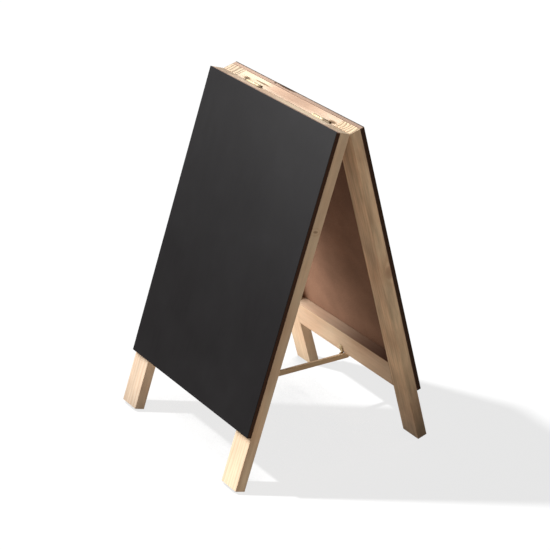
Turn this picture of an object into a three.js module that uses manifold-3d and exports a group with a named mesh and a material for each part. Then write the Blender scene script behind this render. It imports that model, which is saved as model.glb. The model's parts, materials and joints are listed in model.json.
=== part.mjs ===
// A small tabletop A-frame chalkboard. Two alike leaves, each a pine frame with a thin black writing panel
// on its outer face, are hinged together along the top and kept apart by a folding wooden stay.
// Millimetres, +Z up. The origin is on the ground under the middle of the board; the front faces -Y.
import * as THREE from "three";
import { mergeVertices } from "three/addons/utils/BufferGeometryUtils.js";
import Module from "manifold-3d";

const wasm = await Module();
wasm.setup();

// Driving dimensions of the board.
const BOARD_WIDTH = 240;
const STILE_LENGTH = 395;
const STILE_WIDTH = 28;
const FRAME_THICKNESS = 12;
const PANEL_THICKNESS = 5;
const PANEL_LENGTH = 334; // from the top edge to the bottom rail's lower edge
const RAIL_WIDTH = 33;
const HALF_ANGLE = THREE.MathUtils.degToRad(16.7); // each leaf's lean from upright
const FACE_OFFSET = 0.4; // the frame's inner face, from the plane through the hinge axis
const GLUE_GAP = 0.2;
const WOOD_EASE = 0.5; // rounding of the long edges
const WOOD_END_EASE = 0.3;
const PANEL_EASE = 0.4;
const PANEL_END_EASE = 0.25;
const CUT_MARGIN = 1; // how far a cut is carried past the surface it starts or ends on

// Dowels in the corner joints.
const DOWEL_RADIUS = 3;
const DOWEL_LENGTH = 28;
const DOWEL_CLEARANCE = 0.25;
const DOWEL_FROM_EDGE = 8.5;

// Butt hinges let into the top rails.
const HINGE_LENGTH = 30;
const HINGE_OFFSET = 64; // from the pair's middle to the middle of each hinge
const HINGE_SHIFT = 5; // the pair is set this far to the right of the board's centre line
const PLATE_DOWN = 10;
const PLATE_THICKNESS = 0.8;
const KNUCKLE_RADIUS = 2;
const KNUCKLE_GAP = 0.3;
const KNUCKLE_CLEARANCE = 0.4;
const MORTISE_CLEARANCE = 0.2;
const HINGE_PIN_RADIUS = 0.8;
const PIN_CLEARANCE = 0.06;

// Countersunk screws in the hinge plates.
const SCREW_FROM_MIDDLE = 7.5;
const SCREW_DOWN = 6;
const SCREW_LENGTH = 8;
const SCREW_TIP = 2;
const SCREW_SHANK_RADIUS = 0.75;
const SCREW_HEAD_RADIUS = 1.5;
const SCREW_HEAD_DEPTH = 0.7;
const SCREW_CLEARANCE = 0.2;
const SLOT_WIDTH = 0.4;
const SLOT_DEPTH = 0.3;

// The folding stay, its brackets, pins and rivet.
const STAY_THICKNESS = 3;
const STAY_HEIGHT = 6;
const STAY_SIDE_GAP = 0.15; // between each half and the board's centre plane
const STAY_TAIL = 6; // each half runs this far past its pivot, under the rail
const PIVOT_DOWN = 336.5;
const PIVOT_OUT = -3.1;
const BRACKET_THICKNESS = 0.8;
const BRACKET_GAP = 0.25;
const BRACKET_WIDTH = 5.5;
const BRACKET_HEIGHT = 9.5;
const LUG_HEIGHT = 4.5;
const LUG_RADIUS = 2;
const PIVOT_PIN_RADIUS = 0.75;
const PIVOT_HEAD_RADIUS = 1.4;
const PIVOT_HEAD_HEIGHT = 0.5;
const RIVET_HEAD_RADIUS = 1.7;
const RIVET_HEAD_HEIGHT = 0.6;
const BRACKET_SCREW_UP = 5.5; // above the rail's lower edge
const BRACKET_SCREW_HEAD_RADIUS = 1.6;
const BRACKET_SCREW_HEAD_HEIGHT = 0.9;

// Sizes worked out from those above.
const HALF_WIDTH = BOARD_WIDTH / 2;
const RAIL_HALF_LENGTH = HALF_WIDTH - STILE_WIDTH - GLUE_GAP;
const FRAME_OUTER = FACE_OFFSET + FRAME_THICKNESS;
const APEX_HEIGHT = STILE_LENGTH * Math.cos(HALF_ANGLE) - FACE_OFFSET * Math.sin(HALF_ANGLE);
const STAY_HALF_LENGTH = PIVOT_OUT * Math.cos(HALF_ANGLE) + PIVOT_DOWN * Math.sin(HALF_ANGLE);
const KNUCKLE_LENGTH = (HINGE_LENGTH - 2 * KNUCKLE_GAP) / 3;
const STAY_OUTER = STAY_SIDE_GAP + STAY_THICKNESS;
const LUG_INNER = STAY_OUTER + BRACKET_GAP;
const LUG_OUTER = LUG_INNER + BRACKET_THICKNESS;
const ROUND_SEGMENTS = 32;

const pine = new THREE.MeshStandardMaterial({ color: 0xe6ccab, roughness: 0.7, metalness: 0 });
const chalkboard = new THREE.MeshStandardMaterial({ color: 0x343230, roughness: 0.85, metalness: 0 });
const beech = new THREE.MeshStandardMaterial({ color: 0xd4b48c, roughness: 0.7, metalness: 0 });
const stayWood = new THREE.MeshStandardMaterial({ color: 0xa88a68, roughness: 0.7, metalness: 0 });
const brass = new THREE.MeshStandardMaterial({ color: 0xb08d4a, roughness: 0.35, metalness: 0.9 });
const steel = new THREE.MeshStandardMaterial({ color: 0x9a9a98, roughness: 0.35, metalness: 0.9 });

// Every part of a leaf is drawn in the leaf's own directions: x across, y outward and z up its slope,
// with the hinge axis at the origin. "Down" is a distance from the hinge axis towards the feet.

// A closed surface as a solid.
function solidOf(geometry) {
  const bare = geometry.clone();
  bare.deleteAttribute("normal");
  bare.deleteAttribute("uv");
  const merged = mergeVertices(bare, 1e-4);
  return new wasm.Manifold(new wasm.Mesh({
    numProp: 3,
    vertProperties: merged.attributes.position.array,
    triVerts: new Uint32Array(merged.index.array),
  }));
}

// A solid as a named mesh with flat faces.
function pieceOf(name, solid, material) {
  const { vertProperties, triVerts } = solid.getMesh();
  const indexed = new THREE.BufferGeometry();
  indexed.setAttribute("position", new THREE.BufferAttribute(vertProperties, 3));
  indexed.setIndex(new THREE.BufferAttribute(triVerts, 1));
  const geometry = indexed.toNonIndexed();
  geometry.computeVertexNormals();
  const mesh = new THREE.Mesh(geometry, material);
  mesh.name = name;
  return mesh;
}

// A plain box between limits across, outward and down.
function block([acrossFrom, acrossTo], [outFrom, outTo], [downFrom, downTo]) {
  const box = new THREE.BoxGeometry(acrossTo - acrossFrom, outTo - outFrom, downTo - downFrom);
  box.translate((acrossFrom + acrossTo) / 2, (outFrom + outTo) / 2, -(downFrom + downTo) / 2);
  return solidOf(box);
}

// A cylinder that runs across, between two limits, round a line given by its places outward and down.
function crossRod(radius, [acrossFrom, acrossTo], out = 0, down = 0) {
  const rod = new THREE.CylinderGeometry(radius, radius, acrossTo - acrossFrom, ROUND_SEGMENTS);
  rod.rotateZ(-Math.PI / 2);
  rod.translate((acrossFrom + acrossTo) / 2, out, -down);
  return solidOf(rod);
}

// A turned piece whose axis points outward, from profile points of radius and distance along the axis.
function turned(profile) {
  const points = profile.map(([radius, along]) => new THREE.Vector2(radius, along));
  return solidOf(new THREE.LatheGeometry(points, ROUND_SEGMENTS));
}

// Sawn stock with eased edges, lying along z from 0 to its length, centred on x and y.
function stock(width, thickness, length, ease, endEase) {
  const halfWidth = width / 2 - ease;
  const halfThickness = thickness / 2 - ease;
  const outline = new THREE.Shape();
  outline.absarc(halfWidth, halfThickness, ease, 0, Math.PI / 2);
  outline.absarc(-halfWidth, halfThickness, ease, Math.PI / 2, Math.PI);
  outline.absarc(-halfWidth, -halfThickness, ease, Math.PI, 1.5 * Math.PI);
  outline.absarc(halfWidth, -halfThickness, ease, 1.5 * Math.PI, 2 * Math.PI);
  const geometry = new THREE.ExtrudeGeometry(outline, {
    depth: length - 2 * endEase,
    curveSegments: 3,
    bevelEnabled: endEase > 0,
    bevelThickness: endEase,
    bevelSize: endEase,
    bevelOffset: -endEase,
    bevelSegments: 2,
  });
  geometry.translate(0, 0, endEase);
  return geometry;
}

// Both dowel places of a rail, as distances down the leaf.
function dowelPlaces(railTop) {
  return [railTop + DOWEL_FROM_EDGE, railTop + RAIL_WIDTH - DOWEL_FROM_EDGE];
}

// Blind dowel holes over one joint between stile and rail. side is -1 or 1 across the leaf.
function dowelHoles(side, railTop) {
  const joint = side * (RAIL_HALF_LENGTH + GLUE_GAP / 2);
  const reach = DOWEL_LENGTH / 2 + DOWEL_CLEARANCE;
  const middle = FACE_OFFSET + FRAME_THICKNESS / 2;
  const radius = DOWEL_RADIUS + DOWEL_CLEARANCE;
  const [first, second] = dowelPlaces(railTop).map((down) =>
    crossRod(radius, [joint - reach, joint + reach], middle, down));
  return first.add(second);
}

const TOP_RAIL_TOP = 0;
const BOTTOM_RAIL_TOP = PANEL_LENGTH - RAIL_WIDTH;
const RAIL_TOPS = { top: TOP_RAIL_TOP, bottom: BOTTOM_RAIL_TOP };

function stile(name, side) {
  const wood = stock(STILE_WIDTH, FRAME_THICKNESS, STILE_LENGTH, WOOD_EASE, WOOD_END_EASE);
  wood.translate(side * (HALF_WIDTH - STILE_WIDTH / 2), FACE_OFFSET + FRAME_THICKNESS / 2, -STILE_LENGTH);
  let solid = solidOf(wood);
  for (const railTop of Object.values(RAIL_TOPS)) solid = solid.subtract(dowelHoles(side, railTop));
  return pieceOf(name, solid, pine);
}

// A rail between the stiles, before anything is let into it but its dowels.
function railSolid(railTop) {
  const wood = stock(RAIL_WIDTH, FRAME_THICKNESS, 2 * RAIL_HALF_LENGTH, WOOD_EASE, 0);
  wood.rotateY(Math.PI / 2);
  wood.translate(-RAIL_HALF_LENGTH, FACE_OFFSET + FRAME_THICKNESS / 2, -(railTop + RAIL_WIDTH / 2));
  return solidOf(wood).subtract(dowelHoles(-1, railTop)).subtract(dowelHoles(1, railTop));
}

// The hole a screw needs in wood, from the inner face outward.
function pilotHole(across, down, startOut) {
  const radius = SCREW_SHANK_RADIUS + SCREW_CLEARANCE;
  const depth = SCREW_LENGTH + SCREW_CLEARANCE;
  const hole = new THREE.CylinderGeometry(radius, radius, depth, ROUND_SEGMENTS);
  hole.translate(across, startOut + depth / 2, -down);
  return solidOf(hole);
}

function topRail(name, isTurned) {
  let solid = railSolid(TOP_RAIL_TOP);
  const half = HINGE_LENGTH / 2 + MORTISE_CLEARANCE;
  for (const side of [-1, 1]) {
    const middle = hingeMiddle(side, isTurned);
    const span = [middle - half, middle + half];
    const depth = FACE_OFFSET + PLATE_THICKNESS + MORTISE_CLEARANCE;
    solid = solid.subtract(block(span, [-CUT_MARGIN, depth], [-CUT_MARGIN, PLATE_DOWN + MORTISE_CLEARANCE]));
    solid = solid.subtract(crossRod(KNUCKLE_RADIUS + KNUCKLE_CLEARANCE, span));
    for (const offset of [-SCREW_FROM_MIDDLE, SCREW_FROM_MIDDLE]) {
      solid = solid.subtract(pilotHole(middle + offset, SCREW_DOWN, FACE_OFFSET));
    }
  }
  return pieceOf(name, solid, pine);
}

const BRACKET_SCREW_ACROSS = LUG_INNER + BRACKET_WIDTH / 2;
const BRACKET_SCREW_DOWN = PANEL_LENGTH - BRACKET_SCREW_UP;

function bottomRail(name) {
  const pilot = pilotHole(-BRACKET_SCREW_ACROSS, BRACKET_SCREW_DOWN, FACE_OFFSET - CUT_MARGIN);
  return pieceOf(name, railSolid(BOTTOM_RAIL_TOP).subtract(pilot), pine);
}

function panel(name) {
  const board = stock(BOARD_WIDTH, PANEL_THICKNESS, PANEL_LENGTH, PANEL_EASE, PANEL_END_EASE);
  board.translate(0, FRAME_OUTER + GLUE_GAP + PANEL_THICKNESS / 2, -PANEL_LENGTH);
  return pieceOf(name, solidOf(board), chalkboard);
}

function dowel(name, side, down) {
  const joint = side * (RAIL_HALF_LENGTH + GLUE_GAP / 2);
  const ends = [joint - DOWEL_LENGTH / 2, joint + DOWEL_LENGTH / 2];
  return pieceOf(name, crossRod(DOWEL_RADIUS, ends, FACE_OFFSET + FRAME_THICKNESS / 2, down), beech);
}

// The stretches across that a plate's own knuckles fill: the outer two, or the middle one.
function knuckleSpans(middle, outerPair) {
  const pitch = KNUCKLE_LENGTH + KNUCKLE_GAP;
  const places = outerPair ? [-pitch, pitch] : [0];
  return places.map((place) => {
    const centre = middle + place;
    return [centre - KNUCKLE_LENGTH / 2, centre + KNUCKLE_LENGTH / 2];
  });
}

function hingePlate(name, middle, outerPair) {
  const span = [middle - HINGE_LENGTH / 2, middle + HINGE_LENGTH / 2];
  let solid = block(span, [FACE_OFFSET, FACE_OFFSET + PLATE_THICKNESS], [0, PLATE_DOWN]);
  for (const [from, to] of knuckleSpans(middle, !outerPair)) {
    const room = [from - KNUCKLE_GAP, to + KNUCKLE_GAP];
    solid = solid.subtract(crossRod(KNUCKLE_RADIUS + KNUCKLE_CLEARANCE, room));
  }
  for (const own of knuckleSpans(middle, outerPair)) solid = solid.add(crossRod(KNUCKLE_RADIUS, own));
  const bore = [span[0] - CUT_MARGIN, span[1] + CUT_MARGIN];
  solid = solid.subtract(crossRod(HINGE_PIN_RADIUS + PIN_CLEARANCE, bore));
  for (const offset of [-SCREW_FROM_MIDDLE, SCREW_FROM_MIDDLE]) {
    const sink = turned([
      [0, -CUT_MARGIN],
      [SCREW_HEAD_RADIUS + SCREW_CLEARANCE, -CUT_MARGIN],
      [SCREW_HEAD_RADIUS + SCREW_CLEARANCE, 0],
      [SCREW_SHANK_RADIUS + SCREW_CLEARANCE, SCREW_HEAD_DEPTH],
      [SCREW_SHANK_RADIUS + SCREW_CLEARANCE, PLATE_THICKNESS + CUT_MARGIN],
      [0, PLATE_THICKNESS + CUT_MARGIN],
    ]);
    solid = solid.subtract(sink.translate([middle + offset, FACE_OFFSET, -SCREW_DOWN]));
  }
  return pieceOf(name, solid, brass);
}

function hingePin(name, middle) {
  const ends = [middle - HINGE_LENGTH / 2, middle + HINGE_LENGTH / 2];
  return pieceOf(name, crossRod(HINGE_PIN_RADIUS, ends), steel);
}

// The straight slot in a screw's head, at the head's outermost point on its axis.
function screwSlot(headRadius) {
  return block([-headRadius, headRadius], [-SLOT_DEPTH, SLOT_DEPTH], [-SLOT_WIDTH / 2, SLOT_WIDTH / 2]);
}

function hingeScrew(name, across) {
  const shape = turned([
    [0, 0],
    [SCREW_HEAD_RADIUS, 0],
    [SCREW_SHANK_RADIUS, SCREW_HEAD_DEPTH],
    [SCREW_SHANK_RADIUS, SCREW_LENGTH - SCREW_TIP],
    [0, SCREW_LENGTH],
  ]);
  const solid = shape.subtract(screwSlot(SCREW_HEAD_RADIUS));
  return pieceOf(name, solid.translate([across, FACE_OFFSET, -SCREW_DOWN]), brass);
}

// Half a turned button's profile from its edge to its crown, as points of radius and distance.
function crown(radius, height, steps = 5) {
  return Array.from({ length: steps + 1 }, (_, step) => {
    const angle = (step / steps) * (Math.PI / 2);
    return [radius * Math.cos(angle), height * Math.sin(angle)];
  });
}

function bracketScrew(name) {
  const head = crown(BRACKET_SCREW_HEAD_RADIUS, BRACKET_SCREW_HEAD_HEIGHT).reverse();
  const shape = turned([
    ...head.map(([radius, height]) => [radius, -height]),
    [SCREW_SHANK_RADIUS, 0],
    [SCREW_SHANK_RADIUS, SCREW_LENGTH - SCREW_TIP],
    [0, SCREW_LENGTH],
  ]);
  const slot = screwSlot(BRACKET_SCREW_HEAD_RADIUS).translate([0, -BRACKET_SCREW_HEAD_HEIGHT, 0]);
  const seat = FACE_OFFSET - BRACKET_THICKNESS - 2 * BRACKET_GAP;
  const solid = shape.subtract(slot).translate([-BRACKET_SCREW_ACROSS, seat, -BRACKET_SCREW_DOWN]);
  return pieceOf(name, solid, brass);
}

function stayBracket(name) {
  const plateOut = FACE_OFFSET - BRACKET_GAP;
  const plateIn = plateOut - BRACKET_THICKNESS;
  const plateDown = [PANEL_LENGTH - BRACKET_HEIGHT, PANEL_LENGTH];
  const plate = block([-LUG_INNER - BRACKET_WIDTH, -LUG_INNER], [plateIn, plateOut], plateDown);
  const lugDown = [PIVOT_DOWN - LUG_HEIGHT, PIVOT_DOWN];
  const lug = block([-LUG_OUTER, -LUG_INNER], [PIVOT_OUT - LUG_RADIUS, plateOut], lugDown);
  const roundEnd = crossRod(LUG_RADIUS, [-LUG_OUTER, -LUG_INNER], PIVOT_OUT, PIVOT_DOWN);
  const bore = [-LUG_OUTER - CUT_MARGIN, 0];
  const pinHole = crossRod(PIVOT_PIN_RADIUS + PIN_CLEARANCE, bore, PIVOT_OUT, PIVOT_DOWN);
  const screwHole = pilotHole(-BRACKET_SCREW_ACROSS, BRACKET_SCREW_DOWN, plateIn - CUT_MARGIN);
  return pieceOf(name, plate.add(lug).add(roundEnd).subtract(pinHole).subtract(screwHole), brass);
}

// A pin or rivet along x: a shank between two limits and a domed head beyond the lower one.
function headedPin([from, to], shankRadius, headRadius, headHeight) {
  const shape = turned([
    ...crown(headRadius, headHeight).reverse().map(([radius, height]) => [radius, -height]),
    [shankRadius, 0],
    [shankRadius, to - from],
    [0, to - from],
  ]);
  return shape.rotate([0, 0, -90]).translate([from, 0, 0]);
}

function pivotPin(name) {
  const span = [-LUG_OUTER - BRACKET_GAP, -2 * STAY_SIDE_GAP];
  const solid = headedPin(span, PIVOT_PIN_RADIUS, PIVOT_HEAD_RADIUS, PIVOT_HEAD_HEIGHT);
  return pieceOf(name, solid.translate([0, PIVOT_OUT, -PIVOT_DOWN]), brass);
}

// Half of the stay, level, running inward from its pivot at the origin.
function stayHalf(name) {
  const radius = STAY_HEIGHT / 2;
  const outline = new THREE.Shape();
  outline.absarc(STAY_TAIL, 0, radius, -Math.PI / 2, Math.PI / 2);
  outline.absarc(-STAY_HALF_LENGTH, 0, radius, Math.PI / 2, 1.5 * Math.PI);
  for (const place of [0, -STAY_HALF_LENGTH]) {
    const hole = new THREE.Path();
    hole.absarc(place, 0, PIVOT_PIN_RADIUS + PIN_CLEARANCE, 0, 2 * Math.PI);
    outline.holes.push(hole);
  }
  const strip = new THREE.ExtrudeGeometry(outline, {
    depth: STAY_THICKNESS,
    curveSegments: ROUND_SEGMENTS,
    bevelEnabled: false,
  });
  const lengthways = new THREE.Vector3(0, 1, 0);
  const upright = new THREE.Vector3(0, 0, 1);
  const across = new THREE.Vector3(1, 0, 0);
  strip.applyMatrix4(new THREE.Matrix4().makeBasis(lengthways, upright, across));
  strip.translate(-STAY_OUTER, 0, 0);
  return pieceOf(name, solidOf(strip), stayWood);
}

// One half of the middle rivet: the stay's two halves share the pivot, and each carries its own half.
function stayRivet(name) {
  const span = [-STAY_OUTER - BRACKET_GAP, -STAY_SIDE_GAP];
  const solid = headedPin(span, PIVOT_PIN_RADIUS, RIVET_HEAD_RADIUS, RIVET_HEAD_HEIGHT);
  return pieceOf(name, solid.translate([0, -STAY_HALF_LENGTH, 0]), brass);
}

// The middle of a hinge across a leaf. Both leaves share the pair, so the shift turns with the leaf.
function hingeMiddle(side, isTurned) {
  return side * HINGE_OFFSET + (isTurned ? -HINGE_SHIFT : HINGE_SHIFT);
}

// Names a side as seen by someone facing the front. isTurned is true for the leaf that is swung round.
function sideName(side, isTurned) {
  return (isTurned ? -side : side) < 0 ? "left" : "right";
}

function leafFrame(leafName, isTurned) {
  const parts = [
    panel(`${leafName}_panel`),
    topRail(`${leafName}_top_rail`, isTurned),
    bottomRail(`${leafName}_bottom_rail`),
  ];
  for (const side of [-1, 1]) {
    const label = sideName(side, isTurned);
    parts.push(stile(`${leafName}_stile_${label}`, side));
    for (const [railName, railTop] of Object.entries(RAIL_TOPS)) {
      dowelPlaces(railTop).forEach((down, index) => {
        parts.push(dowel(`${leafName}_dowel_${railName}_${label}_${index + 1}`, side, down));
      });
    }
  }
  return parts;
}

function leafHinges(leafName, isTurned) {
  const parts = [];
  for (const side of [-1, 1]) {
    const label = sideName(side, isTurned);
    const middle = hingeMiddle(side, isTurned);
    parts.push(hingePlate(`${leafName}_hinge_plate_${label}`, middle, isTurned));
    if (isTurned) parts.push(hingePin(`hinge_pin_${label}`, middle));
    [-SCREW_FROM_MIDDLE, SCREW_FROM_MIDDLE].forEach((offset, index) => {
      parts.push(hingeScrew(`${leafName}_hinge_screw_${label}_${index + 1}`, middle + offset));
    });
  }
  return parts;
}

function leafStay(leafName) {
  const level = new THREE.Group();
  level.position.set(0, PIVOT_OUT, -PIVOT_DOWN);
  level.rotation.x = -HALF_ANGLE;
  level.add(stayHalf(`${leafName}_stay`), stayRivet(`${leafName}_stay_rivet`));
  return [
    stayBracket(`${leafName}_stay_bracket`),
    bracketScrew(`${leafName}_stay_screw`),
    pivotPin(`${leafName}_stay_pin`),
    level,
  ];
}

// A leaf leaning back from the apex. The front leaf is the same leaf swung half round the upright axis,
// with its hinges moved across to meet the rear leaf's.
function leaf(leafName, isTurned) {
  const leaning = new THREE.Group();
  leaning.position.z = APEX_HEIGHT;
  leaning.rotation.x = HALF_ANGLE;
  leaning.add(...leafFrame(leafName, isTurned), ...leafHinges(leafName, isTurned), ...leafStay(leafName));
  const placed = new THREE.Group();
  placed.rotation.z = isTurned ? Math.PI : 0;
  placed.add(leaning);
  return placed;
}

const board = new THREE.Group();
board.add(leaf("front", true), leaf("rear", false));

export default board;
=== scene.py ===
# A small tabletop A-frame chalkboard: pine-framed leaves, black chalkboard panels, a folding stay.
# Metres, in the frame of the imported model; the shaders work in millimetres along each leaf.
import json
import math

import bpy
from mathutils import Matrix, Vector

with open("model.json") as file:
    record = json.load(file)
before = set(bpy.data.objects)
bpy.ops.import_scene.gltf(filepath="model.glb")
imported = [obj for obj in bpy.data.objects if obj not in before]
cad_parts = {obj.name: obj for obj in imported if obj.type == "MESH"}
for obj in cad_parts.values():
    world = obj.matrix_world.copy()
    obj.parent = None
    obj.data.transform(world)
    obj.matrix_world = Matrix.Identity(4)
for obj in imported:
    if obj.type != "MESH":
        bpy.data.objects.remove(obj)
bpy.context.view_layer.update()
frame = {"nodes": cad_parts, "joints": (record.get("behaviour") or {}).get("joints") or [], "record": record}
record = frame["record"]
nodes = frame["nodes"]

# The leaves' lean and the hinge axis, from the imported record.
MOUNTS = {mount["name"]: mount for mount in record["mounts"]}
JOINTS = {joint["name"]: joint for joint in frame["joints"]}
LEAN = math.asin(MOUNTS["rear_writing_face"]["axis"][2])
APEX = Vector(JOINTS["leaf_fold"]["pos_m"])

# Sizes along a leaf, in millimetres: across from the middle, outward from the hinge plane, up from the apex.
HALF_WIDTH = 120.0
PANEL_BACK = 12.6
PANEL_FACE = 17.6
PANEL_LENGTH = 334.0
STILE_LENGTH = 395.0
STILE_MIDDLE = 106.0

# The camera, fitted to the view of the object.
CAMERA_AZIMUTH = math.radians(55.926)
CAMERA_ELEVATION = math.radians(24.081)
CAMERA_ROLL = math.radians(1.960)
CAMERA_DISTANCE = 2.1264
CAMERA_TARGET = Vector((-0.00566, 0.0, 0.17504))
CAMERA_LENS = 127.72
SENSOR_WIDTH = 36.0


def srgb(red, green, blue):
    """A linear colour from 0-255 sRGB values."""
    def linear(value):
        value /= 255.0
        return value / 12.92 if value <= 0.04045 else ((value + 0.055) / 1.055) ** 2.4
    return (linear(red), linear(green), linear(blue), 1.0)


class Shader:
    """A material's node tree, with short calls for the nodes this scene uses."""

    def __init__(self, name):
        self.material = bpy.data.materials.new(name)
        self.material.use_nodes = True
        self.tree = self.material.node_tree
        self.surface = self.tree.nodes["Principled BSDF"]

    def node(self, kind, **settings):
        made = self.tree.nodes.new(kind)
        for key, value in settings.items():
            setattr(made, key, value)
        return made

    def feed(self, socket, value):
        """Links an output to a socket, or sets the socket to a plain value."""
        if isinstance(value, bpy.types.NodeSocket):
            self.tree.links.new(value, socket)
        else:
            socket.default_value = value

    def math(self, operation, *values, clamp=False):
        made = self.node("ShaderNodeMath", operation=operation, use_clamp=clamp)
        for socket, value in zip(made.inputs, values):
            self.feed(socket, value)
        return made.outputs[0]

    def vector(self, operation, *values):
        made = self.node("ShaderNodeVectorMath", operation=operation)
        for socket, value in zip(made.inputs, values):
            self.feed(socket, value)
        return made.outputs["Value" if operation == "LENGTH" else "Vector"]

    def combine(self, x, y, z):
        made = self.node("ShaderNodeCombineXYZ")
        for socket, value in zip(made.inputs, (x, y, z)):
            self.feed(socket, value)
        return made.outputs[0]

    def separate(self, vector):
        made = self.node("ShaderNodeSeparateXYZ")
        self.feed(made.inputs[0], vector)
        return tuple(made.outputs)

    def noise(self, vector, scale, detail=2.0, roughness=0.5):
        """Noise from 0 to 1 whose features are about 1/scale across."""
        made = self.node("ShaderNodeTexNoise")
        self.feed(made.inputs["Vector"], vector)
        made.inputs["Scale"].default_value = scale
        made.inputs["Detail"].default_value = detail
        made.inputs["Roughness"].default_value = roughness
        return made.outputs["Fac"]

    def ramp(self, value, *stops):
        """A colour ramp; each stop is (place, grey level or colour)."""
        made = self.node("ShaderNodeValToRGB")
        self.feed(made.inputs[0], value)
        elements = made.color_ramp.elements
        while len(elements) < len(stops):
            elements.new(0.5)
        for element, (place, colour) in zip(elements, stops):
            element.position = place
            element.color = colour if isinstance(colour, tuple) else (colour, colour, colour, 1.0)
        return made.outputs["Color"]

    def remap(self, value, from_low, from_high, to_low, to_high):
        made = self.node("ShaderNodeMapRange")
        limits = (value, from_low, from_high, to_low, to_high)
        for socket, limit in zip(made.inputs, limits):
            self.feed(socket, limit)
        return made.outputs[0]

    def mix(self, factor, first, second, blend="MIX"):
        made = self.node("ShaderNodeMix", data_type="RGBA", blend_type=blend)
        self.feed(made.inputs["Factor"], factor)
        self.feed(made.inputs[6], first)
        self.feed(made.inputs[7], second)
        return made.outputs[2]

    def bump(self, height, depth, strength):
        """A bump of that depth in millimetres."""
        made = self.node("ShaderNodeBump")
        made.inputs["Strength"].default_value = strength
        made.inputs["Distance"].default_value = depth / 1000.0
        self.feed(made.inputs["Height"], height)
        return made.outputs[0]

    def finish(self, colour, roughness, normal=None, **plain):
        """Sets the surface; the plain values are its inputs' names, with underscores for spaces."""
        self.feed(self.surface.inputs["Base Color"], colour)
        self.feed(self.surface.inputs["Roughness"], roughness)
        if normal is not None:
            self.feed(self.surface.inputs["Normal"], normal)
        for key, value in plain.items():
            self.surface.inputs[key.replace("_", " ")].default_value = value
        return self.material


def leaf_place(shader, leaf):
    """Across, outward and up along a leaf in millimetres, with the hinge axis at zero."""
    side = -1.0 if leaf == "front" else 1.0
    upright = shader.node("ShaderNodeVectorRotate", rotation_type="X_AXIS")
    shader.feed(upright.inputs["Vector"], shader.node("ShaderNodeTexCoord").outputs["Object"])
    upright.inputs["Center"].default_value = APEX
    upright.inputs["Angle"].default_value = -side * LEAN
    from_apex = shader.vector("SUBTRACT", upright.outputs[0], tuple(APEX))
    return shader.vector("MULTIPLY", from_apex, (1000.0, side * 1000.0, 1000.0))


# ---------------------------------------------------------------------------------------------------
# Materials
# ---------------------------------------------------------------------------------------------------

PINE_EARLY = srgb(212, 191, 165)
PINE_LATE = srgb(176, 133, 97)
PINE_BLUSH = srgb(205, 173, 145)
END_GRAIN_LATE = srgb(112, 95, 76)

# Growth rings, in millimetres: their width, how far they wander and tremble, and how a knot bends them,
# as a depth and a reach in the knot's own radii.
RING_WIDTH = 4.8
RING_WANDER = 14.0
RING_TREMBLE = 1.8
RING_BENDERS = ("knot", "swirl")
BEND_DEPTH = 5.0
BEND_REACH = 5.0

# How much a noise is squeezed along the grain, so that it is drawn out that way.
WANDER_SQUEEZE = 0.07
FIBRE_SQUEEZE = 0.03
SMEAR_SQUEEZE = 0.12

# How far apart two seeds lie in the noises, in millimetres, and how far the smears lie from the fibres.
WOOD_SEED_STRIDE = 137.0
SMEAR_SEED_OFFSET = 50.0
PANEL_SEED_STRIDE = 91.0

# How each kind of mark looks: the colours of its rim and middle, how opaque it is and how soft its edge.
MARK_KINDS = {
    "knot": (srgb(160, 122, 88), srgb(108, 76, 50), 0.65, 0.5),
    "swirl": (srgb(164, 122, 92), srgb(138, 94, 66), 0.5, 0.7),
    # dark_mark: dark spots on the top rails beside the hinges.
    "dark_mark": (srgb(136, 102, 62), srgb(74, 50, 24), 0.9, 0.5),
    "blush": (srgb(182, 146, 120), srgb(148, 114, 92), 0.75, 0.8),
    "pale": (srgb(216, 196, 164), srgb(222, 203, 170), 0.5, 0.8),
    "chip": (srgb(92, 66, 46), srgb(44, 32, 22), 0.95, 0.4),
}

# Marks by piece: (kind, place, radius, stretch), in millimetres across, outward and up the leaf.
MARKS = {
    "front_stile_right": (("knot", (120.5, 7.5, -105.2), 1.4, (1.0, 1.9, 0.8)),),
    "rear_stile_right": (("swirl", (120.5, 9.5, -174.7), 3.2, (1.0, 1.0, 1.5)),),
    "front_top_rail": (
        ("pale", (40.0, 6.0, 0.0), 5.0, (5.0, 1.0, 1.0)),
        ("dark_mark", (-44.0, 3.4, 0.0), 1.5, (2.8, 1.0, 1.0)),
    ),
    "rear_top_rail": (
        ("blush", (14.0, 8.5, 0.0), 4.2, (7.5, 1.2, 1.0)),
        ("pale", (-70.0, 8.0, 0.0), 4.0, (4.5, 1.0, 1.0)),
        ("dark_mark", (-76.0, 3.0, 0.0), 1.8, (2.4, 1.0, 1.0)),
        ("dark_mark", (-50.0, 6.5, 0.0), 0.9, (14.0, 1.0, 1.0)),
        ("dark_mark", (84.0, 3.2, 0.0), 1.7, (3.0, 1.0, 1.0)),
    ),
    "rear_panel": (
        ("chip", (-18.0, 16.6, 0.0), 1.5, (10.0, 1.0, 1.0)),
        ("chip", (-39.0, 15.4, 0.0), 1.0, (1.6, 1.2, 1.0)),
    ),
}

# Tints of pieces cut from warmer or darker wood than the rest.
PLAIN_TINT = (1.0, 1.0, 1.0)
TINTS = {
    "front_stay": (0.80, 0.77, 0.66),
    "rear_stay": (0.80, 0.77, 0.66),
    "front_stile_right": (1.0, 0.98, 0.92),
    "rear_stile_right": (1.10, 1.03, 0.91),
    "rear_stile_left": (1.03, 1.02, 0.97),
    "rear_bottom_rail": (1.0, 0.95, 0.90),
    "dowels": (0.9, 0.9, 0.9),
}

# Along a foot: where its colour starts to change, in millimetres down the leaf, and its tone at the end.
# The rear right foot's darkening is painted shade, and the front right foot's lifting is painted light from
# the floor.
PAINTED_FOOT_LIGHT_AND_SHADE = {"rear_stile_right": (280.0, 0.28), "front_stile_right": (230.0, 1.14)}
PLAIN_FOOT = (345.0, 0.76)
FOOT_END_MARGIN = 15.0

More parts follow.
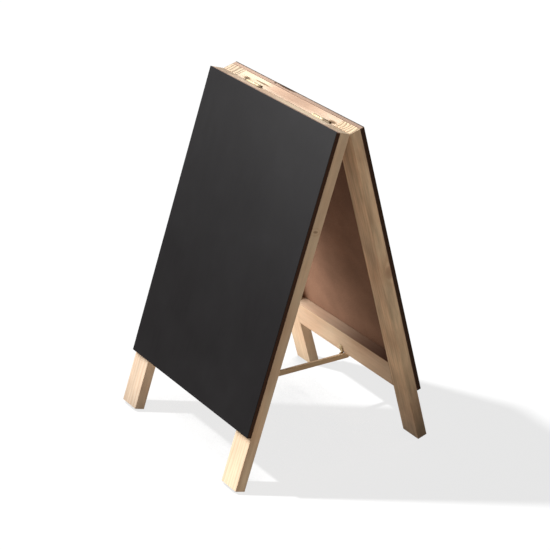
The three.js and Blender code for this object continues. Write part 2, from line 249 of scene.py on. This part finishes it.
# The darkest tone of the smeared bands along the grain.
SMEAR_TONES = {"rear_stile_right": 0.62, "rear_top_rail": 0.80, "front_top_rail": 0.8}
PLAIN_SMEAR_TONE = 0.86

# Tones at the left and right ends of pieces, painted shade that deepens towards the right inside the board.
SHADE_ACROSS = {"rear_bottom_rail": (1.0, 0.74), "rear_panel": (1.02, 0.70)}
PLAIN_SHADE_ACROSS = (1.0, 1.0)
SHADE_ACROSS_MARGIN = 30.0

# The upward face of a bottom rail, inside the board, carries painted shade: brown, deeper to the right.
LEDGE_UP = -301.6
LEDGE_SHADE = srgb(92, 58, 34)
LEDGE_COVER = (0.35, 1.0)
LEDGE_EDGE = 0.4


def tinted(shader, colour, *levels):
    """A colour dimmed or lifted by each of the levels in turn."""
    for level in levels:
        colour = shader.mix(1.0, colour, shader.combine(level, level, level), "MULTIPLY")
    return colour


def from_left_to_right(shader, across, left, right):
    """A level that changes evenly across the board, up to a margin at either side."""
    reach = HALF_WIDTH - SHADE_ACROSS_MARGIN
    return shader.remap(across, -reach, reach, left, right)


def with_ledge_shade(shader, colour, name, across, up):
    """The colour, darkened by painted shade on the ledge if the piece is a bottom rail."""
    if not name.endswith("bottom_rail"):
        return colour
    on_ledge = shader.remap(up, LEDGE_UP - LEDGE_EDGE, LEDGE_UP, 0.0, 1.0)
    ledge_shade = from_left_to_right(shader, across, *LEDGE_COVER)
    return shader.mix(shader.math("MULTIPLY", on_ledge, ledge_shade), colour, LEDGE_SHADE)


def painted_shade_across(shader, name, across):
    """A piece's tone from its left end to its right, set by painted shade."""
    return from_left_to_right(shader, across, *SHADE_ACROSS.get(name, PLAIN_SHADE_ACROSS))


def mark_masks(shader, place, marks):
    """For each mark: the mark, a mask that is 1 at its middle and 0 past its edge, and the distance."""
    waver = shader.math("MULTIPLY", shader.noise(place, 0.9, 2.0), 0.8)
    layers = []
    for mark in marks:
        kind, middle, radius, stretch = mark
        softness = MARK_KINDS[kind][3]
        offset = shader.vector("SUBTRACT", place, middle)
        distance = shader.vector("LENGTH", shader.vector("DIVIDE", offset, stretch))
        ragged = shader.math("ADD", distance, waver)
        mask = shader.remap(ragged, radius * (1.3 + softness), radius * (1.0 - softness), 0.0, 1.0)
        layers.append((mark, mask, distance))
    return layers


def lay_marks(shader, colour, layers):
    """The colour with each mark painted over it, the last one on top."""
    for (kind, *_), mask, _ in layers:
        rim, middle, opacity, _ = MARK_KINDS[kind]
        cover = shader.ramp(mask, (0.0, 0.0), (0.3, 0.8 * opacity), (0.7, opacity))
        colour = shader.mix(cover, colour, shader.mix(mask, rim, middle))
    return colour


def growth_rings(shader, section_u, section_v, wander, heart, layers):
    """0 to 1 over each ring, from the distance to the tree's middle, bent round any marks."""
    slow = shader.noise(wander, 0.045, 1.0)
    warped_u = shader.math("MULTIPLY_ADD", slow, RING_WANDER, section_u)
    from_heart = shader.combine(
        shader.math("SUBTRACT", warped_u, heart[0] + RING_WANDER / 2),
        shader.math("SUBTRACT", section_v, heart[1]),
        0.0,
    )
    radius = shader.vector("LENGTH", from_heart)
    for (kind, _, size, _), _, distance in layers:
        if kind in RING_BENDERS:
            push = shader.remap(distance, 0.0, size * BEND_REACH, BEND_DEPTH, 0.0)
            radius = shader.math("ADD", radius, push)
    radius = shader.math("MULTIPLY_ADD", shader.noise(wander, 0.35, 2.0), RING_TREMBLE, radius)
    return shader.math("FRACT", shader.math("DIVIDE", radius, RING_WIDTH))


def end_grain_mask(shader, runs):
    """1 on faces square to the grain."""
    normal = shader.separate(shader.node("ShaderNodeTexCoord").outputs["Normal"])
    facing = shader.math("ABSOLUTE", normal[{"across": 0, "level": 1, "up": 2}[runs]])
    return shader.remap(facing, 0.90, 0.95, 0.0, 1.0)


def foot_tone(shader, place, up, foot):
    """The tone of the last stretch of a foot, changing towards its end: painted shade on the rear right foot,
    painted light on the front right one.
    """
    start, end_tone = foot
    smudged = shader.math("MULTIPLY_ADD", shader.noise(place, 0.06, 3.0, 0.6), 30.0, up)
    return shader.remap(smudged, -start, -STILE_LENGTH + FOOT_END_MARGIN, 1.0, end_tone)


def drawn_out(shader, section_u, section_v, along, squeeze, shift):
    """A place squeezed along the grain, for a noise that is drawn out along it."""
    return shader.combine(section_u, section_v, shader.math("MULTIPLY_ADD", along, squeeze, shift))


def pine(name, leaf, runs, heart, seed):
    """Planed softwood. runs is 'up', 'across' or, for the stay, 'level', the way of the grain; heart is
    the place of the tree's middle in the piece's section, so the same rings show as arcs on its ends
    and as lines along it."""
    shader = Shader(f"{name}_wood")
    place = object_millimetres(shader) if runs == "level" else leaf_place(shader, leaf)
    across, outward, up = shader.separate(place)
    section_u, section_v, along = {
        "up": (across, outward, up),
        "across": (up, outward, across),
        "level": (across, up, outward),
    }[runs]
    shift = seed * WOOD_SEED_STRIDE
    layers = mark_masks(shader, place, MARKS.get(name, ()))

    # Noises drawn out along the grain: slow wander, smeared bands and fine fibre.
    section = (shader, section_u, section_v, along)
    wander = drawn_out(*section, WANDER_SQUEEZE, shift)
    fibre_place = drawn_out(*section, FIBRE_SQUEEZE, shift)
    smear_place = drawn_out(*section, SMEAR_SQUEEZE, shift + SMEAR_SEED_OFFSET)
    fibre = shader.noise(fibre_place, 2.6, 3.0, 0.6)
    smear = shader.noise(smear_place, 0.14, 4.0, 0.62)
    blotch = shader.noise(shader.vector("ADD", place, (shift, 0.0, 0.0)), 0.02, 2.0)

    rings = growth_rings(shader, section_u, section_v, wander, heart, layers)
    late = shader.ramp(rings, (0.0, 0.0), (0.5, 0.12), (0.86, 1.0), (1.0, 0.0))
    late_strength = shader.remap(shader.noise(wander, 0.03, 1.0), 0.3, 0.7, 0.14, 0.5)
    ground = shader.mix(shader.remap(blotch, 0.35, 0.7, 0.0, 0.8), PINE_EARLY, PINE_BLUSH)
    faces = shader.mix(shader.math("MULTIPLY", late, late_strength), ground, PINE_LATE)
    faces = tinted(
        shader,
        faces,
        shader.remap(fibre, 0.25, 0.75, 0.91, 1.06),
        shader.remap(smear, 0.32, 0.68, SMEAR_TONES.get(name, PLAIN_SMEAR_TONE), 1.08),
    )

    # End grain is darker than the faces, and its rings stand out.
    pores = shader.noise(shader.combine(section_u, section_v, shift), 3.0, 2.0, 0.7)
    broad = shader.ramp(rings, (0.0, 0.0), (0.3, 0.15), (0.7, 0.85), (1.0, 0.0))
    ends = shader.mix(broad, ground, END_GRAIN_LATE)
    ends = tinted(shader, ends, shader.remap(pores, 0.3, 0.7, 0.84, 1.02))

    colour = shader.mix(end_grain_mask(shader, runs), faces, ends)
    foot = foot_tone(shader, place, up, PAINTED_FOOT_LIGHT_AND_SHADE.get(name, PLAIN_FOOT))
    # The foot's tone, then painted shade towards the right end of the piece.
    colour = tinted(shader, colour, foot, painted_shade_across(shader, name, across))
    # Painted shade on the ledge of a bottom rail.
    colour = with_ledge_shade(shader, colour, name, across, up)
    colour = shader.mix(1.0, colour, TINTS.get(name, PLAIN_TINT) + (1.0,), "MULTIPLY")
    colour = lay_marks(shader, colour, layers)

    relief = shader.math("MULTIPLY_ADD", late, 0.4, fibre)
    roughness = shader.remap(fibre, 0.2, 0.8, 0.58, 0.74)
    return shader.finish(colour, roughness, shader.bump(relief, 0.05, 0.6), Specular_IOR_Level=0.35)


CHALK_BLACK = srgb(17, 15, 16)
CHALK_DUST_AND_SHEEN = srgb(48, 47, 47)
HARDBOARD = srgb(157, 121, 99)
HARDBOARD_DARK = srgb(130, 97, 78)
HARDBOARD_EDGE = srgb(66, 44, 32)
HARDBOARD_TOP = srgb(166, 139, 120)
COATING_SMEAR = srgb(92, 80, 72)
WAFFLE_PITCH = 1.5

# Where a panel's look starts to change and has changed, in millimetres in from its back, its face, its
# face again at the top edge, and its top.
BACK_SKIN = (0.05, 0.35)
COATING_EDGE = (0.45, 0.25)
SMEAR_EDGE = (1.7, 1.1)
TOP_EDGE = (1.2, 0.4)


def chalk_coating(shader, shifted, across, up, tooth, wipes):
    """Matt black, with faint swirls of wiped chalk, a fine tooth, and an upper part greyed by painted sheen,
    more so to the right.
    """
    haze = shader.remap(shader.noise(shifted, 0.012, 3.0, 0.6), 0.35, 0.7, 0.0, 0.2)
    dust_and_sheen = shader.math("MULTIPLY", haze, shader.remap(wipes, 0.3, 0.7, 0.3, 1.0))
    # Painted sheen: the upper part greyer, more so to the right, added to the chalk dust.
    height = shader.math("POWER", shader.remap(up, -PANEL_LENGTH, 0.0, 0.0, 1.0), 2.2)
    painted_sheen = shader.math("MULTIPLY", height, shader.remap(across, -HALF_WIDTH, HALF_WIDTH, 0.55, 1.05))
    dust_and_sheen = shader.math("ADD", dust_and_sheen, painted_sheen, clamp=True)
    coating = shader.mix(dust_and_sheen, CHALK_BLACK, CHALK_DUST_AND_SHEEN)
    return tinted(shader, coating, shader.remap(tooth, 0.3, 0.7, 0.93, 1.07))


def raw_hardboard(shader, shifted, outward, up, off_back):
    """Pressed fibres: the screened back, darker cut sides and a paler rubbed top edge."""
    fibres = shader.noise(shader.vector("MULTIPLY", shifted, (1.0, 1.0, 0.6)), 1.1, 4.0, 0.7)
    back = shader.mix(shader.remap(fibres, 0.3, 0.7, 0.0, 1.0), HARDBOARD_DARK, HARDBOARD)
    back = tinted(shader, back, shader.remap(shader.noise(shifted, 0.03, 2.0), 0.3, 0.7, 0.88, 1.1))
    smeared = shader.remap(outward, PANEL_FACE - SMEAR_EDGE[0], PANEL_FACE - SMEAR_EDGE[1], 0.0, 0.85)
    top = shader.mix(smeared, HARDBOARD_TOP, COATING_SMEAR)
    edge = shader.mix(shader.remap(up, -TOP_EDGE[0], -TOP_EDGE[1], 0.0, 1.0), HARDBOARD_EDGE, top)
    edge = tinted(shader, edge, shader.remap(fibres, 0.3, 0.7, 0.75, 1.25))
    return shader.mix(off_back, back, edge)


def chalkboard(name, leaf, seed):
    """Thin hardboard: matt black coating on the outer face, raw fibre on the edges, a screened back."""
    shader = Shader(f"{name}_chalkboard")
    place = leaf_place(shader, leaf)
    across, outward, up = shader.separate(place)
    shifted = shader.vector("ADD", place, (seed * PANEL_SEED_STRIDE, 0.0, 0.0))
    tooth = shader.noise(place, 2.2, 2.0, 0.7)
    wipes = shader.noise(shader.vector("MULTIPLY", shifted, (0.35, 1.0, 0.08)), 0.35, 4.0, 0.6)
    off_back = shader.remap(outward, PANEL_BACK + BACK_SKIN[0], PANEL_BACK + BACK_SKIN[1], 0.0, 1.0)

    raw = raw_hardboard(shader, shifted, outward, up, off_back)
    # Painted shade towards the right end of the panel.
    raw = tinted(shader, raw, painted_shade_across(shader, name, across))
    raw = lay_marks(shader, raw, mark_masks(shader, place, MARKS.get(name, ())))
    coating = chalk_coating(shader, shifted, across, up, tooth, wipes)
    ragged = shader.math("MULTIPLY_ADD", tooth, 0.3, outward)
    coated = shader.remap(ragged, PANEL_FACE - COATING_EDGE[0], PANEL_FACE - COATING_EDGE[1], 0.0, 1.0)
    colour = shader.mix(coated, raw, coating)

    # The screened back is a fine waffle.
    turns = 2 * math.pi / WAFFLE_PITCH
    waffle_across = shader.math("SINE", shader.math("MULTIPLY", across, turns))
    waffle_up = shader.math("SINE", shader.math("MULTIPLY", up, turns))
    waffle = shader.math("MULTIPLY", waffle_across, waffle_up)
    waffle = shader.math("MULTIPLY", waffle, shader.remap(off_back, 0.0, 0.2, 0.5, 0.0))
    normal = shader.bump(shader.math("MULTIPLY_ADD", tooth, 0.5, waffle), 0.08, 0.5)
    roughness = shader.remap(coated, 0.0, 1.0, 0.85, shader.remap(wipes, 0.3, 0.7, 0.58, 0.68))
    return shader.finish(colour, roughness, normal, Specular_IOR_Level=0.11)


def object_millimetres(shader):
    """An object's own coordinates in millimetres, for what isn't laid out along a leaf."""
    coordinates = shader.node("ShaderNodeTexCoord").outputs["Object"]
    return shader.vector("MULTIPLY", coordinates, (1000.0, 1000.0, 1000.0))


RUBBED_BRASS = srgb(206, 188, 150)
TARNISHED_BRASS = srgb(134, 108, 74)
DARK_BRASS = srgb(78, 56, 34)
BRIGHT_STEEL = srgb(168, 166, 162)
RUST = srgb(110, 78, 54)

# Stretches across the board where the hinges are darker: (middle, half the length).
DARK_HINGE_STRETCHES = ((-75.0, 4.5), (-44.0, 4.0), (79.0, 7.0))
STRETCH_EDGE = 1.5


def brass(name):
    """Dulled brass: warm metal under brown tarnish, brighter where it rubs."""
    shader = Shader(name)
    place = object_millimetres(shader)
    tarnish = shader.noise(place, 0.5, 4.0, 0.65)
    brushed = shader.noise(shader.vector("MULTIPLY", place, (0.15, 3.0, 3.0)), 2.0, 2.0)
    spots = shader.remap(tarnish, 0.42, 0.68, 0.0, 0.8)
    colour = shader.mix(spots, RUBBED_BRASS, TARNISHED_BRASS)
    across = shader.separate(place)[0]
    for middle, half in DARK_HINGE_STRETCHES:
        away = shader.math("ABSOLUTE", shader.math("SUBTRACT", across, middle))
        darkness = shader.remap(away, half + STRETCH_EDGE, half - STRETCH_EDGE, 0.0, 0.85)
        colour = shader.mix(darkness, colour, DARK_BRASS)
    roughness = shader.remap(tarnish, 0.3, 0.7, 0.42, 0.65)
    return shader.finish(colour, roughness, shader.bump(brushed, 0.02, 0.5), Metallic=0.4)


def steel(name):
    """Plain drawn wire, with a little rust bloom."""
    shader = Shader(name)
    place = object_millimetres(shader)
    bloom = shader.noise(place, 1.2, 3.0, 0.6)
    drawn = shader.noise(shader.vector("MULTIPLY", place, (0.1, 4.0, 4.0)), 2.0, 2.0)
    colour = shader.mix(shader.remap(bloom, 0.5, 0.75, 0.0, 0.7), BRIGHT_STEEL, RUST)
    roughness = shader.remap(bloom, 0.3, 0.7, 0.3, 0.6)
    return shader.finish(colour, roughness, shader.bump(drawn, 0.02, 0.5), Metallic=1.0)


def give(node_name, material):
    """Puts a material on every slot of a CAD node."""
    mesh = nodes[node_name].data
    mesh.materials.clear()
    mesh.materials.append(material)


# Where the tree's middle lies in each piece's section, in millimetres, and seeds that set pieces apart.
RAIL_HEARTS = {"top_rail": (-16.0, -22.0), "bottom_rail": (-318.0, 44.0)}
HEART_FROM_STILE = 62.0
STAY_HEART = (20.0, 30.0)
DOWEL_HEART = (0.0, 40.0)
STILE_SEED_STEP = 0.31
RAIL_SEED = 2.3
STAY_SEED = 5.1
DOWEL_SEED = 7.0


def dress_leaf(leaf, seed):
    """All of one leaf's materials. Each piece of wood is cut from its own place in a tree."""
    give(f"{leaf}_panel", chalkboard(f"{leaf}_panel", leaf, seed))
    for side, label in ((-1, "left"), (1, "right")):
        name = f"{leaf}_stile_{label}"
        heart = (side * (STILE_MIDDLE - HEART_FROM_STILE), -12.0 + 6.0 * seed)
        give(name, pine(name, leaf, "up", heart, seed + STILE_SEED_STEP * (side + 2)))
    for index, (rail, heart) in enumerate(RAIL_HEARTS.items()):
        name = f"{leaf}_{rail}"
        give(name, pine(name, leaf, "across", heart, seed + RAIL_SEED + index))
    give(f"{leaf}_stay", pine(f"{leaf}_stay", leaf, "level", STAY_HEART, seed + STAY_SEED))


BRASS_WORDS = ("plate", "screw", "bracket", "stay_pin", "rivet")


def dress():
    dress_leaf("front", 1.0)
    dress_leaf("rear", 2.0)
    brass_finish = brass("dull_brass")
    steel_finish = steel("drawn_steel")
    dowel_finish = pine("dowels", "rear", "across", DOWEL_HEART, DOWEL_SEED)
    for name in nodes:
        if "_dowel_" in name:
            give(name, dowel_finish)
        elif name.startswith("hinge_pin"):
            give(name, steel_finish)
        elif any(word in name for word in BRASS_WORDS):
            give(name, brass_finish)


# ---------------------------------------------------------------------------------------------------
# Stage
# ---------------------------------------------------------------------------------------------------

FLOOR_HALF = 30.0
FLOOR_GLOW = (0.79, 0.79, 0.79, 1.0)
FLOOR_BOUNCE = (0.61, 0.535, 0.46, 1.0)
FLOOR_ALBEDO = (0.16, 0.16, 0.16, 1.0)
BLACK = (0.0, 0.0, 0.0, 1.0)
WHITE = (1.0, 1.0, 1.0)

# How far the floor looks for the leaves, in metres, and how open it is where their shade is full and
# where it has gone.
SHADE_REACH = 0.5
OPEN_FROM = 0.46
OPEN_TO = 0.59

# The lights: each direction points from the board to the light.
KEY_COLOUR = (1.0, 1.03, 1.08)
KEY_STRENGTH = 6.3
KEY_DIRECTION = Vector((-0.62, -0.64, 1.0))
BOARD_SPREAD = math.radians(40.0)
FLOOR_SPREAD = math.radians(3.0)
FILL_COLOUR = (1.0, 0.98, 0.94)
FILL_STRENGTH = 2.3
FILL_DIRECTION = Vector((-0.58, -0.70, 0.10))
FILL_SPREAD = math.radians(26.0)
BACK_STRENGTH = 3.0
BACK_DIRECTION = Vector((-0.15, 1.0, 0.25))
ROOM_LIGHT = 0.03


def painted_shade_under_board(shader):
    """1 where the leaves shut most of the room off from the floor, whatever the pose, with a few streaks let
    through: the mask of the painted shade under the board."""
    closed_in = shader.node("ShaderNodeAmbientOcclusion", samples=8)
    closed_in.inputs["Distance"].default_value = SHADE_REACH
    streaks = shader.noise(shader.vector("MULTIPLY", object_millimetres(shader), (0.3, 1.0, 1.0)), 0.035, 2.0)
    openness = shader.math("MULTIPLY_ADD", streaks, 0.2, closed_in.outputs["AO"])
    return shader.remap(openness, OPEN_FROM, OPEN_TO, 1.0, 0.0)


def floor():
    """A wide pale floor, one flat face that reaches past every view. It glows like a light table,
    and what it throws back on the board is a little warmer and dimmer than it looks."""
    mesh = bpy.data.meshes.new("floor")
    signs = ((-1, -1), (1, -1), (1, 1), (-1, 1))
    mesh.from_pydata([(x * FLOOR_HALF, y * FLOOR_HALF, 0.0) for x, y in signs], [], [(0, 1, 2, 3)])
    plane = bpy.data.objects.new("floor", mesh)
    bpy.context.scene.collection.objects.link(plane)
    shader = Shader("pale_floor")
    # Painted shade: under the board the floor's colour goes black, so the key light barely shows there.
    albedo = shader.mix(painted_shade_under_board(shader), FLOOR_ALBEDO, BLACK)
    mesh.materials.append(shader.finish(albedo, 0.9, Specular_IOR_Level=0.0))
    seen = shader.node("ShaderNodeLightPath").outputs["Is Camera Ray"]
    shader.feed(shader.surface.inputs["Emission Color"], shader.mix(seen, FLOOR_BOUNCE, FLOOR_GLOW))
    shader.surface.inputs["Emission Strength"].default_value = 1.0
    return plane


def distant_light(name, direction, strength, spread, colour, lit_objects):
    """A distant light that lights only the objects given."""
    light = bpy.data.lights.new(name, "SUN")
    light.energy = strength
    light.angle = spread
    light.color = colour
    lamp = bpy.data.objects.new(name, light)
    lamp.rotation_euler = direction.to_track_quat("Z", "Y").to_euler()
    bpy.context.scene.collection.objects.link(lamp)
    receivers = bpy.data.collections.new(f"{name}_receivers")
    for lit in lit_objects:
        receivers.objects.link(lit)
    lamp.light_linking.receiver_collection = receivers


def lights(floor_plane):
    """A soft key on the board, the same key crisper on the floor, a low fill on the rear leaf and the
    stay, a fill from behind on the rear leaf, and a dim room."""
    board = list(nodes.values())
    rear = [node for name, node in nodes.items() if name.startswith("rear_")]
    inside = [node for name, node in nodes.items() if name.startswith("rear_") or "_stay" in name]
    distant_light("board_key", KEY_DIRECTION, KEY_STRENGTH, BOARD_SPREAD, KEY_COLOUR, board)
    distant_light("floor_key", KEY_DIRECTION, KEY_STRENGTH, FLOOR_SPREAD, WHITE, [floor_plane])
    distant_light("side_fill", FILL_DIRECTION, FILL_STRENGTH, FILL_SPREAD, FILL_COLOUR, inside)
    distant_light("back_fill", BACK_DIRECTION, BACK_STRENGTH, BOARD_SPREAD, WHITE, rear)
    world = bpy.data.worlds.new("room")
    world.use_nodes = True
    background = world.node_tree.nodes["Background"]
    background.inputs["Color"].default_value = (1.0, 1.0, 1.0, 1.0)
    background.inputs["Strength"].default_value = ROOM_LIGHT
    bpy.context.scene.world = world


def camera():
    """The camera, turned about the board, raised, and rolled a little."""
    back = Vector((
        math.sin(CAMERA_AZIMUTH) * math.cos(CAMERA_ELEVATION),
        -math.cos(CAMERA_AZIMUTH) * math.cos(CAMERA_ELEVATION),
        math.sin(CAMERA_ELEVATION),
    ))
    level_right = (-back).cross(Vector((0.0, 0.0, 1.0))).normalized()
    level_up = level_right.cross(-back)
    right = level_right * math.cos(CAMERA_ROLL) + level_up * math.sin(CAMERA_ROLL)
    up = -level_right * math.sin(CAMERA_ROLL) + level_up * math.cos(CAMERA_ROLL)
    data = bpy.data.cameras.new("camera")
    data.sensor_width = SENSOR_WIDTH
    data.lens = CAMERA_LENS
    made = bpy.data.objects.new("camera", data)
    turn = Matrix((right, up, back)).transposed()
    made.matrix_world = Matrix.Translation(CAMERA_TARGET + back * CAMERA_DISTANCE) @ turn.to_4x4()
    bpy.context.scene.collection.objects.link(made)
    bpy.context.scene.camera = made


camera()
dress()
lights(floor())
bpy.context.scene.view_settings.view_transform = "Standard"
